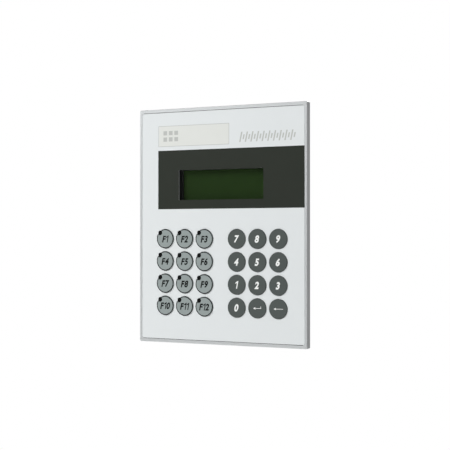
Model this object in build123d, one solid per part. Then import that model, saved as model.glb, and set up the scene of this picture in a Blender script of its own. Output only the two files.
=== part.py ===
from build123d import *

import os
from math import sqrt

# Flush-mounted alarm keypad panel: aluminium front plate with 24 short-travel keys and a
# four-line text display, an electronics housing behind it, and four screw clamps that grip a
# cabinet door. Millimetres, +Z up, the operator stands on the -Y side.
#
# The origin is the centre of the sealing plane, the rear face of the gasket, where the front
# plate seats on the cabinet door. Everything with a smaller Y is in front of the door.

# ------------------------------------------------------------------ driving dimensions, mm
# front plate
panel_width = 158.0
panel_height = 200.0
bezel_depth = 6.0
bezel_corner = 1.0
bezel_chamfer = 0.3
rim_side = 2.0  # bare metal rim beside the foil, left and right
rim_end = 2.8  # the same, top and bottom
web_thickness = 2.5
foil_thickness = 0.5
foil_below_rim = 0.1
foil_corner = 2.0
foil_gap = 0.25

# seal on the back of the front plate
gasket_proud = 1.0
gasket_width = 3.0
gasket_groove_depth = 1.5
gasket_inset = 3.5
gasket_gap = 0.1

# keys
key_columns = 3
key_rows = 4
key_pitch = 19.05
key_block_spacing = 30.6  # between the inner columns of the two key blocks
key_first_row_z = -11.25
key_bridge = 2.65  # foil left between two neighbouring keys
key_gap = 0.2
key_proud = 0.5  # above the metal rim
key_travel = 0.6
key_flange_lip = 0.8
key_flange_thickness = 0.8
key_flange_gap = 0.05
key_wall = 1.3
key_edge_radius = 0.3
key_post_radius = 2.0
post_to_dome = 0.05
dome_gap = 0.35  # from a dome to the foot of the light beside it
dome_height = 0.7
dome_thickness = 0.15

# light beside each function key
led_radius = 1.8
led_base_lip = 0.2
led_base_height = 0.9
led_gap = 0.25
led_foil_gap = 0.1
led_inside_key_edge = 0.85  # how far the light's centre lies inside the key's edge

# display
window_z = 34.5
window_reveal_x = 2.0  # seal seen beside the viewing area, left and right
window_reveal_z = 0.15
window_margin = 1.5
window_pane = 1.2
seal_thickness = 2.2
lcd_view_width = 76.0
lcd_view_height = 25.2
lcd_frame_border_x = 10.5
lcd_frame_border_z = 7.4
lcd_frame_depth = 8.4
lcd_frame_wall = 0.8
lcd_glass_thickness = 2.8
lcd_inner_gap = 0.1
lcd_board_border_x = 0.5
lcd_board_border_z = 10.0
lcd_screw_inset = 2.5
lcd_tab_width = 3.0
lcd_tab_reach = 1.0
ribbon_width = 20.4
ribbon_thickness = 1.0
ribbon_bend = 2.0
ribbon_plug_width = 24.0
ribbon_plug_height = 5.0
ribbon_plug_depth = 5.5
ribbon_plug_inset = 1.0

# label pocket above the display
label_width = 68.6
label_height = 17.8
label_left_x = -60.4
label_z = 76.6
label_margin = 1.0
label_film = 0.2
label_paper = 0.3

# boards and what holds them
board_thickness = 1.6
keypad_board_margin = 1.4
controller_board_y = 8.0
controller_board_width = 114.0
controller_board_top_z = -2.5
standoff_radius = 2.5
standoff_spigot_radius = 1.8
standoff_spigot = 1.5
press_gap = 0.02
board_hole_gap = 0.3
board_screw_radius = 1.2
board_screw_head_radius = 2.25
board_screw_head = 1.5
board_screw_length = 5.0
screw_hole_gap = 0.05
screw_end_gap = 0.3
# x, z, width, height and depth of the chips and the relay, then x, z, radius and depth of the
# capacitors, all on the back of the controller board
chip_sizes = [(-4, -34, 24, 24, 3.2), (22, -30, 12, 18, 2.4), (-30, -14, 10, 15, 2.2)]
chip_sizes += [(24, -10, 15, 8, 2.2), (-32, -36, 15, 10, 9.0)]
capacitor_sizes = [(48, -12, 4, 11), (48, -74, 4, 11), (36, -12, 3, 8)]
buzzer_x = -49.0
buzzer_z = -40.0
buzzer_radius = 6.0
buzzer_height = 9.5

# rear housing, folded from sheet
housing_inset = 12.0  # from the front plate's edge
housing_depth = 26.0  # behind the sealing plane
housing_wall = 1.0
housing_corner = 3.0
housing_pocket_gap = 0.5
housing_front_gap = 0.2
pillar_radius = 3.0
pillar_from_wall = 2.0
housing_screw_radius = 1.5
housing_screw_head_radius = 2.9
housing_screw_head = 2.1
housing_screw_length = 8.0
vent_count = 9
vent_pitch = 5.0
vent_width = 2.0
vent_length = 34.0
vent_z = 52.0

# rear connectors
serial_from_pillar = 13.875  # centre of the port to the board pillar outside it
connector_z = -56.0
serial_shell_width = 16.6
serial_shell_height = 8.2
serial_shell_draft = 1.4  # each side of the D narrows by this much
serial_flange_width = 31.0
serial_flange_height = 12.5
serial_flange_thickness = 1.0
serial_shell_proud = 5.0
jackpost_spacing = 24.99
jackpost_flats = 4.8
jackpost_thread_radius = 1.4
jackpost_bore_radius = 1.25
jackpost_bore_depth = 4.0
terminal_from_pillar = 15.875  # centre of the block to the board pillar outside it
terminal_count = 5
terminal_pitch = 5.08
terminal_height = 15.0
terminal_proud = 3.5
terminal_entry = 3.2
terminal_entry_depth = 8.0
terminal_screw_radius = 1.9
terminal_screw_sunk = 1.0
connector_gap = 0.4
earth_x = 54.0
earth_z = -34.0
earth_radius = 2.0
earth_root_radius = 1.65  # bottom of the thread, which the nut's own thread fills
earth_length = 10.0
earth_washer = 0.8
earth_washer_radius = 4.5
earth_nut = 3.2
earth_nut_flats = 7.0
earth_head_radius = 3.6
earth_head = 1.2

# clamps that pull the front plate against the door
clamp_x = 44.0
clamp_block_width = 12.0
clamp_block_height = 9.0
clamp_block_front = 10.0
clamp_block_depth = 8.0
clamp_wall_gap = 0.3
clamp_screw_from_wall = 5.3
clamp_screw_radius = 2.0
clamp_screw_gap = 0.05
clamp_travel = 5.0
clamp_foot_radius = 4.4
clamp_foot_thickness = 3.5
clamp_open = 6.0  # gap for the door sheet with the clamp undone
clamp_neck_radius = 1.4
clamp_neck_gap = 0.06
clamp_head_radius = 4.0
clamp_head = 4.0
clamp_head_clear = 0.8
clamp_slot_width = 1.0
clamp_slot_depth = 1.6
hook_width = 8.0
hook_thickness = 2.6
hook_lip = 3.0
hook_lip_thickness = 1.5
hook_gap = 0.25

# ------------------------------------------------------------------ depths along Y
plate_back = -gasket_proud
plate_front = plate_back - bezel_depth
foil_front = plate_front + foil_below_rim
foil_back = foil_front + foil_thickness
web_back = foil_back + web_thickness
key_top = plate_front - key_proud
flange_front = web_back + key_flange_gap
flange_back = flange_front + key_flange_thickness
post_end = flange_back + key_travel - 0.1
dome_apex = post_end + post_to_dome
keypad_board_front = dome_apex + dome_height
keypad_board_back = keypad_board_front + board_thickness
pane_back = foil_back + window_pane
lcd_front = pane_back + seal_thickness
lcd_glass_front = lcd_front + lcd_frame_wall
lcd_glass_back = lcd_glass_front + lcd_glass_thickness
lcd_board_front = lcd_front + lcd_frame_depth
lcd_board_back = lcd_board_front + board_thickness
controller_board_back = controller_board_y + board_thickness
housing_front = web_back + housing_front_gap
housing_inner_back = housing_depth - housing_wall

# ------------------------------------------------------------------ sizes seen from the front
foil_width = panel_width - 2 * rim_side - 2 * foil_gap
foil_height = panel_height - 2 * rim_end - 2 * foil_gap
housing_width = panel_width - 2 * housing_inset
housing_height = panel_height - 2 * housing_inset
inner_width = housing_width - 2 * housing_wall
inner_height = housing_height - 2 * housing_wall
key_radius = (key_pitch - key_bridge) / 2
key_flange_radius = key_radius + key_flange_lip
led_reach = key_radius - led_inside_key_edge
led_offset = led_reach / sqrt(2)
dome_radius = led_reach - led_radius - led_base_lip - dome_gap
led_notch_radius = led_radius + led_base_lip + led_gap
window_width = lcd_view_width + 2 * window_reveal_x
window_height = lcd_view_height + 2 * window_reveal_z
label_x = label_left_x + label_width / 2
lcd_frame_width = lcd_view_width + 2 * lcd_frame_border_x
lcd_frame_height = lcd_view_height + 2 * lcd_frame_border_z
lcd_board_width = lcd_frame_width + 2 * lcd_board_border_x
lcd_board_height = lcd_frame_height + 2 * lcd_board_border_z
pillar_x = inner_width / 2 - pillar_from_wall - pillar_radius
pillar_end_z = inner_height / 2 - pillar_from_wall - pillar_radius

# key centres, left block first, each block row by row from its top left
outer_columns = [key_block_spacing / 2 + i * key_pitch for i in range(key_columns)]
row_heights = [key_first_row_z - row * key_pitch for row in range(key_rows)]
function_centres = [(-x, z) for z in row_heights for x in reversed(outer_columns)]
number_centres = [(x, z) for z in row_heights for x in outer_columns]
led_centres = [(x - led_offset, z + led_offset) for x, z in function_centres]
number_names = ["7", "8", "9", "4", "5", "6", "1", "2", "3", "0", "enter", "backspace"]

# points between four keys, where a pillar or a screw passes the keypad board
between_x = [outer_columns[i] + key_pitch / 2 for i in range(key_columns - 1)]
between_z = [row_heights[0] - key_pitch / 2, row_heights[2] - key_pitch / 2]
controller_pillars = [(side * between_x[-1], z) for z in between_z for side in (-1, 1)]
serial_x = between_x[-1] - serial_from_pillar
terminal_x = terminal_from_pillar - between_x[-1]
keypad_screws = [(side * between_x[0], z) for z in between_z for side in (-1, 1)]
keypad_screws += [(0, row_heights[0] + key_pitch / 4), (0, row_heights[-1] - key_pitch / 4)]
lcd_pillars = [
    (
        side_x * (lcd_board_width / 2 - lcd_screw_inset),
        window_z + side_z * (lcd_board_height / 2 - lcd_screw_inset),
    )
    for side_z in (-1, 1)
    for side_x in (-1, 1)
]
keypad_board_top = row_heights[0] + key_flange_radius + keypad_board_margin + 2
keypad_board_bottom = row_heights[-1] - key_flange_radius - keypad_board_margin
middle_pillar_z = keypad_board_top + pillar_radius + 1
housing_pillars = [
    (side * pillar_x, z) for z in (-pillar_end_z, middle_pillar_z, pillar_end_z) for side in (-1, 1)
]
controller_board_bottom = -pillar_end_z + pillar_radius + 1
clamp_sides = [(-clamp_x, 1), (clamp_x, 1), (-clamp_x, -1), (clamp_x, -1)]
clamp_axis_z = housing_height / 2 + clamp_screw_from_wall


# ------------------------------------------------------------------ helpers
def prism(outline, front, back):
    """A solid whose outline is drawn as the operator sees it, from one depth to another."""
    face = Plane(origin=(0, front, 0), x_dir=(1, 0, 0), z_dir=(0, -1, 0))
    return extrude(face * outline, amount=front - back)


def plate(width, height, front, back, x=0, z=0, corner=0):
    """A flat rectangular piece, with rounded corners where corner is given."""
    outline = RectangleRounded(width, height, corner) if corner else Rectangle(width, height)
    return prism(Pos(x, z) * outline, front, back)


def rod(radius, front, back, x=0, z=0):
    """A round bar along Y."""
    return prism(Pos(x, z) * Circle(radius), front, back)


def discs(radius, centres):
    """One sketch of equal circles."""
    return Sketch() + [Pos(x, z) * Circle(radius) for x, z in centres]


def hexagon(flats, x=0, z=0):
    """A hexagon given by its width across flats."""
    return Pos(x, z) * RegularPolygon(radius=flats / 2, side_count=6, major_radius=False)


def group(solids):
    """Separate solids kept in one node."""
    return Compound(children=[s for shape in solids for s in shape.solids()])


# ------------------------------------------------------------------ front plate
def key_openings(led_hole_radius):
    """Outline of all key holes, with the light's hole running into each function key's."""
    holes = discs(key_radius + key_gap, function_centres + number_centres)
    return holes + discs(led_hole_radius, led_centres)


def make_front_plate():
    """Milled plate: a rim round the foil, a web with the key holes, a wall that seats on the door."""
    body = plate(panel_width, panel_height, plate_front, plate_back, corner=bezel_corner)
    body = chamfer(body.faces().sort_by(Axis.Y)[0].edges(), bezel_chamfer)
    body -= plate(
        foil_width + 2 * foil_gap,
        foil_height + 2 * foil_gap,
        plate_front - 1,
        foil_back,
        corner=foil_corner + foil_gap,
    )
    body -= plate(
        housing_width + 2 * housing_pocket_gap,
        housing_height + 2 * housing_pocket_gap,
        web_back,
        plate_back + 1,
        corner=housing_corner + housing_pocket_gap,
    )
    body -= make_gasket_ring(gasket_gap, plate_back - gasket_groove_depth, plate_back + 1)
    body -= prism(key_openings(led_notch_radius), foil_back - 1, web_back + 1)
    body -= plate(
        window_width + 2 * window_margin,
        window_height + 2 * window_margin,
        foil_back - 1,
        web_back + 1,
        z=window_z,
    )
    body -= plate(
        label_width + 2 * label_margin,
        label_height + 2 * label_margin,
        foil_back - 1,
        foil_back + label_film + label_paper,
        x=label_x,
        z=label_z,
    )
    body += prism(discs(standoff_radius, keypad_screws), web_back, keypad_board_front)
    screw_end = keypad_board_back - board_screw_length - screw_end_gap
    tapped = board_screw_radius + screw_hole_gap
    body -= prism(discs(tapped, keypad_screws), screw_end, keypad_board_front + 1)
    sockets = discs(standoff_spigot_radius + press_gap, lcd_pillars + controller_pillars)
    sockets += discs(standoff_spigot_radius + press_gap, housing_pillars)
    body -= prism(sockets, web_back - standoff_spigot - press_gap, web_back + 1)
    return body


def make_gasket_ring(gap, front, back):
    """The gasket's ring, widened by a gap on both sides where it is used to cut the groove."""
    outer_w = panel_width - 2 * gasket_inset + 2 * gap
    outer_h = panel_height - 2 * gasket_inset + 2 * gap
    band = gasket_width + 2 * gap
    outer = plate(outer_w, outer_h, front, back, corner=gasket_width + gap)
    return outer - plate(outer_w - 2 * band, outer_h - 2 * band, front - 1, back + 1)


def make_overlay_foil():
    """Printed polyester foil in the recess, open over the keys, the display and the label."""
    foil = plate(foil_width, foil_height, foil_front, foil_back, corner=foil_corner)
    foil -= prism(key_openings(led_radius + led_foil_gap), foil_front - 1, foil_back + 1)
    foil -= plate(window_width, window_height, foil_front - 1, foil_back + 1, z=window_z)
    foil -= plate(label_width, label_height, foil_front - 1, foil_back + 1, label_x, label_z)
    return foil


def clear_window(width, height, lip, depth, x, z):
    """A clear sheet behind the foil, with a step that fills the foil's opening flush."""
    lip_less_gap = 2 * (lip - press_gap)
    sheet = plate(width + lip_less_gap, height + lip_less_gap, foil_back, foil_back + depth, x, z)
    step_width = width - 2 * press_gap
    step_height = height - 2 * press_gap
    return sheet + plate(step_width, step_height, foil_front, foil_back, x, z)


def make_clear_windows():
    """The display's pane and the label pocket's clear film."""
    pane = clear_window(window_width, window_height, window_margin, window_pane, 0, window_z)
    film = clear_window(label_width, label_height, label_margin, label_film, label_x, label_z)
    return group([pane, film])


def make_label_insert():
    """Exchangeable paper strip in the pocket."""
    width = label_width + 2 * label_margin - 2 * foil_gap
    height = label_height + 2 * label_margin - 2 * foil_gap
    front = foil_back + label_film
    return plate(width, height, front, front + label_paper, x=label_x, z=label_z)


def make_light_seal():
    """Black foam frame that lines the display opening from the pane back to the display."""
    outer_w = window_width + 2 * window_margin - 2 * press_gap
    outer_h = window_height + 2 * window_margin - 2 * press_gap
    outer = plate(outer_w, outer_h, pane_back, lcd_front, z=window_z)
    return outer - plate(window_width, window_height, pane_back - 1, lcd_front + 1, z=window_z)


# ------------------------------------------------------------------ keys
def make_key(x, z, with_light):
    """Round cap with a retaining flange behind the web and a post that presses the dome."""
    cap = rod(key_radius, key_top, flange_front, x, z)
    cap = fillet(cap.faces().sort_by(Axis.Y)[0].edges(), key_edge_radius)
    cap += rod(key_flange_radius, flange_front, flange_back, x, z)
    hollow = Pos(x, z) * Circle(key_radius - key_wall)
    notch_centre = Pos(x - led_offset, z + led_offset)
    if with_light:
        cap -= prism(notch_centre * Circle(led_notch_radius), key_top - 1, flange_back + 1)
        hollow -= notch_centre * Circle(led_notch_radius + key_wall)
    cap -= prism(hollow, key_top + key_wall, flange_back + 1)
    return cap + rod(key_post_radius, key_top + key_wall, post_end, x, z)


def make_function_leds():
    """Twelve lights that stand on the keypad board and end level with the foil."""
    lights = []
    for x, z in led_centres:
        light = rod(led_radius, foil_front, keypad_board_front, x, z)
        base_front = keypad_board_front - led_base_height
        lights.append(light + rod(led_radius + led_base_lip, base_front, keypad_board_front, x, z))
    return group(lights)


def make_snap_domes():
    """Twenty-four thin sprung steel domes on the board, one under each key's post."""
    sphere_radius = (dome_radius**2 + dome_height**2) / (2 * dome_height)
    shell = Sphere(sphere_radius) - Sphere(sphere_radius - dome_thickness)
    shell = Pos(0, dome_apex + sphere_radius, 0) * shell
    dome = shell & rod(dome_radius + 1, dome_apex - 1, keypad_board_front)
    return group([Pos(x, 0, z) * dome for x, z in function_centres + number_centres])


def make_keypad_board():
    """Board behind all the keys."""
    width = 2 * (outer_columns[-1] + key_flange_radius + keypad_board_margin)
    middle = (keypad_board_top + keypad_board_bottom) / 2
    height = keypad_board_top - keypad_board_bottom
    board = plate(width, height, keypad_board_front, keypad_board_back, z=middle, corner=2)
    passes = discs(standoff_radius + board_hole_gap, controller_pillars)
    passes += discs(board_screw_radius + board_hole_gap, keypad_screws)
    return board - prism(passes, keypad_board_front - 1, keypad_board_back + 1)


# ------------------------------------------------------------------ display
def make_lcd_frame():
    """Stamped black frame round the glass, with tabs that pass through the display board."""
    w, h, wall = lcd_frame_width, lcd_frame_height, lcd_frame_wall
    frame = plate(w, h, lcd_front, lcd_board_front, z=window_z)
    frame -= plate(w - 2 * wall, h - 2 * wall, lcd_glass_front, lcd_board_front + 1, z=window_z)
    frame -= plate(lcd_view_width, lcd_view_height, lcd_front - 1, lcd_glass_front + 1, z=window_z)
    for x, z in lcd_tabs():
        frame += plate(lcd_tab_width, wall, lcd_board_front, lcd_board_back + lcd_tab_reach, x, z)
    return frame


def lcd_tabs():
    """Centres of the frame's tabs, on its long walls."""
    edge = (lcd_frame_height - lcd_frame_wall) / 2
    thirds = (-lcd_frame_width / 3, 0, lcd_frame_width / 3)
    return [(x, window_z + side * edge) for side in (-1, 1) for x in thirds]


def lcd_layer(front, back):
    """A layer that fills the frame from wall to wall."""
    clear = 2 * (lcd_frame_wall + lcd_inner_gap)
    return plate(lcd_frame_width - clear, lcd_frame_height - clear, front, back, z=window_z)


def make_lcd_board():
    """Display board, with slots for the frame's tabs."""
    board = plate(lcd_board_width, lcd_board_height, lcd_board_front, lcd_board_back, z=window_z)
    holes = discs(board_screw_radius + board_hole_gap, lcd_pillars)
    slot = Rectangle(lcd_tab_width + 2 * lcd_inner_gap, lcd_frame_wall + 2 * lcd_inner_gap)
    holes += [Pos(x, z) * slot for x, z in lcd_tabs()]
    return board - prism(holes, lcd_board_front - 1, lcd_board_back + 1)


def make_lcd_ribbon():
    """Flat cable from the display board down to the controller board, with its two plugs."""
    half = ribbon_plug_height / 2
    upper_z = window_z - lcd_board_height / 2 + half + ribbon_plug_inset
    lower_z = controller_board_top_z - half - ribbon_plug_inset
    plugs = [
        plate(ribbon_plug_width, ribbon_plug_height, board, board + ribbon_plug_depth, z=z)
        for board, z in ((lcd_board_back, upper_z), (controller_board_back, lower_z))
    ]
    upper_y = lcd_board_back + ribbon_plug_depth / 2
    lower_y = controller_board_back + ribbon_plug_depth / 2
    start = upper_z - half
    end = lower_z + half
    third = (end - start) / 3
    points = [
        (0, upper_y, start),
        (0, upper_y, start + third),
        (0, lower_y, end - third),
        (0, lower_y, end),
    ]
    path = FilletPolyline(*points, radius=ribbon_bend)
    section = Plane(origin=points[0], x_dir=(1, 0, 0), z_dir=(0, 0, -1))
    cable = sweep(section * Rectangle(ribbon_width, ribbon_thickness), path=path)
    return group([*plugs, cable])


# ------------------------------------------------------------------ controller
def make_controller_board():
    """Main board, on pillars behind the keypad board."""
    height = controller_board_top_z - controller_board_bottom
    middle = (controller_board_top_z + controller_board_bottom) / 2
    board = plate(
        controller_board_width,
        height,
        controller_board_y,
        controller_board_back,
        z=middle,
        corner=2,
    )
    holes = discs(board_screw_radius + board_hole_gap, controller_pillars)
    return board - prism(holes, controller_board_y - 1, controller_board_back + 1)


def make_board_components():
    """Chips, electrolytic capacitors and a relay on the back of the controller board."""
    board = controller_board_back
    made = [plate(w, h, board, board + deep, x, z) for x, z, w, h, deep in chip_sizes]
    made += [rod(radius, board, board + deep, x, z) for x, z, radius, deep in capacitor_sizes]
    return group(made)


def make_buzzer():
    """Round sounder with its small port."""
    back = controller_board_back + buzzer_height
    body = rod(buzzer_radius, controller_board_back, back, buzzer_x, buzzer_z)
    return body - rod(buzzer_radius / 6, back - buzzer_height / 2, back + 1, buzzer_x, buzzer_z)


def standoff(x, z, back, radius, screw_radius, screw_reach):
    """Pillar pressed into the web at its front end and tapped at its rear end."""
    pillar = rod(radius, web_back, back, x, z)
    pillar += rod(standoff_spigot_radius, web_back - standoff_spigot, web_back, x, z)
    return pillar - rod(screw_radius + screw_hole_gap, back - screw_reach, back + 1, x, z)


def make_board_standoffs():
    """Pillars that carry the display board and the controller board."""
    reach = board_screw_length - board_thickness + screw_end_gap
    sizes = (standoff_radius, board_screw_radius, reach)
    made = [standoff(x, z, lcd_board_front, *sizes) for x, z in lcd_pillars]
    made += [standoff(x, z, controller_board_y, *sizes) for x, z in controller_pillars]
    return group(made)


def make_board_screws():
    """Equal pan-head screws for all three boards."""
    seats = [(x, z, keypad_board_back) for x, z in keypad_screws]
    seats += [(x, z, lcd_board_back) for x, z in lcd_pillars]
    seats += [(x, z, controller_board_back) for x, z in controller_pillars]
    screws = []
    for x, z, seat in seats:
        head = rod(board_screw_head_radius, seat, seat + board_screw_head, x, z)
        screws.append(head + rod(board_screw_radius, seat - board_screw_length, seat, x, z))
    return group(screws)


# ------------------------------------------------------------------ rear housing
def make_rear_housing():
    """Sheet-metal box that passes through the door, with openings for connectors and clamps."""
    box = plate(housing_width, housing_height, housing_front, housing_depth, corner=housing_corner)
    box -= plate(
        inner_width,
        inner_height,
        housing_front - 1,
        housing_inner_back,
        corner=housing_corner - housing_wall,
    )
    rear = discs(housing_screw_radius + 0.2, housing_pillars)
    rear += [
        Pos(serial_x, connector_z) * serial_outline(connector_gap),
        Pos(terminal_x, connector_z)
        * Rectangle(terminal_width() + 2 * connector_gap, terminal_height + 2 * connector_gap),
        Pos(earth_x, earth_z) * Circle(earth_root_radius + screw_hole_gap),
    ]
    rear += discs(jackpost_thread_radius + screw_hole_gap, jackpost_centres())
    first = -(vent_count - 1) / 2
    vent = SlotOverall(vent_length, vent_width)
    for side in (-1, 1):
        centre = side * (vent_length / 2 + vent_pitch)
        rear += [Pos(centre, vent_z + (first + i) * vent_pitch) * vent for i in range(vent_count)]
    box -= prism(rear, housing_inner_back - 1, housing_depth + 1)
    for x, side in clamp_sides:
        box -= Pos(x, hook_y(), side * housing_height / 2) * Box(
            hook_width + 2 * hook_gap, hook_thickness + 2 * hook_gap, 4 * housing_wall
        )
    return box


def make_housing_standoffs():
    """Long pillars from the web to the rear wall."""
    reach = housing_screw_length - housing_wall + screw_end_gap
    return group(
        standoff(x, z, housing_inner_back, pillar_radius, housing_screw_radius, reach)
        for x, z in housing_pillars
    )


def make_housing_screws():
    """Pan-head screws that hold the housing, with a cross recess in each head."""
    screws = []
    for x, z in housing_pillars:
        top = housing_depth + housing_screw_head
        head = rod(housing_screw_head_radius, housing_depth, top, x, z)
        head = fillet(head.faces().sort_by(Axis.Y)[-1].edges(), housing_screw_head / 2)
        arm = housing_screw_head_radius * 1.1
        cross = Rectangle(arm, arm / 4) + Rectangle(arm / 4, arm)
        head -= prism(Pos(x, z) * cross, housing_depth + housing_screw_head / 3, top + 1)
        end = housing_depth - housing_screw_length
        screws.append(head + rod(housing_screw_radius, end, housing_depth, x, z))
    return group(screws)


def make_panel_gasket():
    """Foam cord in the groove, standing proud so that the door squeezes it."""
    return make_gasket_ring(0, plate_back - gasket_groove_depth, 0)


# ------------------------------------------------------------------ rear connectors
def serial_outline(gap):
    """The D of the serial port, wide side up, grown by a gap."""
    half_w = serial_shell_width / 2 + gap
    half_h = serial_shell_height / 2 + gap
    narrow = half_w - serial_shell_draft
    corners = [(-half_w, half_h), (half_w, half_h), (narrow, -half_h), (-narrow, -half_h)]
    face = make_face(Polyline(*corners, close=True))
    return fillet(face.vertices(), serial_shell_height / 5)


def jackpost_centres():
    """The two posts beside the serial port."""
    return [(serial_x + side * jackpost_spacing / 2, connector_z) for side in (-1, 1)]


def make_serial_port():
    """Nine-way port: base on the board, flange inside the rear wall, shell through it."""
    flange_front = housing_inner_back - serial_flange_thickness
    base_w, base_h = serial_shell_width + 2, serial_shell_height + 2
    port = plate(base_w, base_h, controller_board_back, flange_front, serial_x, connector_z)
    port += plate(
        serial_flange_width,
        serial_flange_height,
        flange_front,
        housing_inner_back,
        x=serial_x,
        z=connector_z,
    )
    shell = Pos(serial_x, connector_z) * serial_outline(0)
    port += prism(shell, housing_inner_back, housing_depth + serial_shell_proud)
    holes = discs(jackpost_thread_radius + screw_hole_gap, jackpost_centres())
    return port - prism(holes, flange_front - 1, housing_inner_back + 1)


def make_serial_jackposts():
    """Hexagon posts that fix the port and take the plug's screws."""
    top = housing_depth + serial_shell_proud
    posts = []
    for x, z in jackpost_centres():
        post = prism(hexagon(jackpost_flats, x, z), housing_depth, top)
        tail = housing_inner_back - serial_flange_thickness - jackpost_thread_radius
        post += rod(jackpost_thread_radius, tail, housing_depth, x, z)
        posts.append(post - rod(jackpost_bore_radius, top - jackpost_bore_depth, top + 1, x, z))
    return group(posts)


def terminal_width():
    """Length of the terminal block over all its ways."""
    return terminal_count * terminal_pitch + 1.0


def terminal_ways():
    """X of each way of the terminal block."""
    first = terminal_x - (terminal_count - 1) * terminal_pitch / 2
    return [first + i * terminal_pitch for i in range(terminal_count)]


def terminal_screw_z():
    """Height of the row of terminal screws."""
    return connector_z + terminal_height / 4


def make_terminal_block():
    """Supply and bus terminals: a wire entry below and a screw above on each way."""
    top = housing_depth + terminal_proud
    block = plate(
        terminal_width(), terminal_height, controller_board_back, top, terminal_x, connector_z
    )
    entry_z = connector_z - terminal_height / 4
    entries = [Pos(x, entry_z) * Rectangle(terminal_entry, terminal_entry) for x in terminal_ways()]
    wells = discs(terminal_screw_radius + 0.15, [(x, terminal_screw_z()) for x in terminal_ways()])
    block -= prism(Sketch() + entries, top - terminal_entry_depth, top + 1)
    return block - prism(wells, top - terminal_entry_depth, top + 1)


def make_terminal_screws():
    """Slotted screws sunk in the terminal block."""
    top = housing_depth + terminal_proud - terminal_screw_sunk
    bottom = housing_depth + terminal_proud - terminal_entry_depth
    screws = []
    for x in terminal_ways():
        screw = rod(terminal_screw_radius, bottom, top, x, terminal_screw_z())
        slot = plate(2 * terminal_screw_radius, 0.6, top - 0.8, top + 1, x, terminal_screw_z())
        screws.append(screw - slot)
    return group(screws)


def make_earth_stud():
    """Earth stud through the rear wall, with its washer and nut as separate solids."""
    wall, back = housing_inner_back, housing_depth
    nut_front = back + earth_washer
    nut_back = nut_front + earth_nut
    stud = rod(earth_head_radius, wall - earth_head, wall, earth_x, earth_z)
    stud += rod(earth_root_radius, wall, nut_back, earth_x, earth_z)
    stud += rod(earth_radius, nut_back, back + earth_length, earth_x, earth_z)
    washer = rod(earth_washer_radius, back, nut_front, earth_x, earth_z)
    washer -= rod(earth_radius + screw_hole_gap, back - 1, nut_front + 1, earth_x, earth_z)
    nut = prism(hexagon(earth_nut_flats, earth_x, earth_z), nut_front, nut_back)
    nut -= rod(earth_root_radius + screw_hole_gap, back, nut_back + 1, earth_x, earth_z)
    return group([stud, washer, nut])


# ------------------------------------------------------------------ clamps
def hook_y():
    """Depth at the middle of a clamp's hook."""
    return clamp_block_front + clamp_block_depth / 2


def make_clamp_brackets():
    """Four blocks that hook into slots in the housing and carry the clamp screws."""
    wall_z = housing_height / 2
    base = wall_z + clamp_wall_gap
    lip_z = wall_z - housing_wall - hook_gap - hook_lip_thickness
    brackets = []
    for x, side in clamp_sides:
        block = Pos(x, hook_y(), base + clamp_block_height / 2) * Box(
            clamp_block_width, clamp_block_depth, clamp_block_height
        )
        block = chamfer(block.edges().filter_by(Axis.Y).sort_by(Axis.Z)[-2:], 1.5)
        tab = Pos(x, hook_y(), (lip_z + base) / 2) * Box(hook_width, hook_thickness, base - lip_z)
        lip = Pos(x, hook_y() + hook_lip / 2, lip_z + hook_lip_thickness / 2) * Box(
            hook_width, hook_thickness + hook_lip, hook_lip_thickness
        )
        bore = rod(clamp_screw_radius + clamp_screw_gap, 0, housing_depth, x, clamp_axis_z)
        bracket = block + tab + lip - bore
        brackets.append(bracket if side > 0 else mirror(bracket, about=Plane.XY))
    return group(brackets)


def make_clamp_foot(x, side):
    """Cap that bears on the back of the door and lets the screw turn in it."""
    z = side * clamp_axis_z
    back = clamp_open + clamp_foot_thickness
    foot = rod(clamp_foot_radius, clamp_open, back, x, z)
    foot = chamfer(foot.faces().sort_by(Axis.Y)[-1].edges(), 0.6)
    socket = clamp_neck_radius + clamp_neck_gap
    return foot - rod(socket, clamp_open + clamp_foot_thickness / 3, back + 1, x, z)


def make_clamp_screw(x, side):
    """Thumb screw: a neck in the foot, a shank through the bracket, a slotted head."""
    z = side * clamp_axis_z
    neck_front = clamp_open + clamp_foot_thickness / 3 + clamp_neck_gap
    neck_back = clamp_open + clamp_foot_thickness + 0.4
    head_front = clamp_block_front + clamp_block_depth + clamp_travel + clamp_head_clear
    screw = rod(clamp_neck_radius, neck_front, neck_back, x, z)
    screw += rod(clamp_screw_radius, neck_back, head_front, x, z)
    head = rod(clamp_head_radius, head_front, head_front + clamp_head, x, z)
    head = chamfer(head.edges().filter_by(GeomType.CIRCLE), 0.5)
    top = head_front + clamp_head
    slot = plate(2 * clamp_head_radius, clamp_slot_width, top - clamp_slot_depth, top + 1, x, z)
    return screw + head - slot


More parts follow.
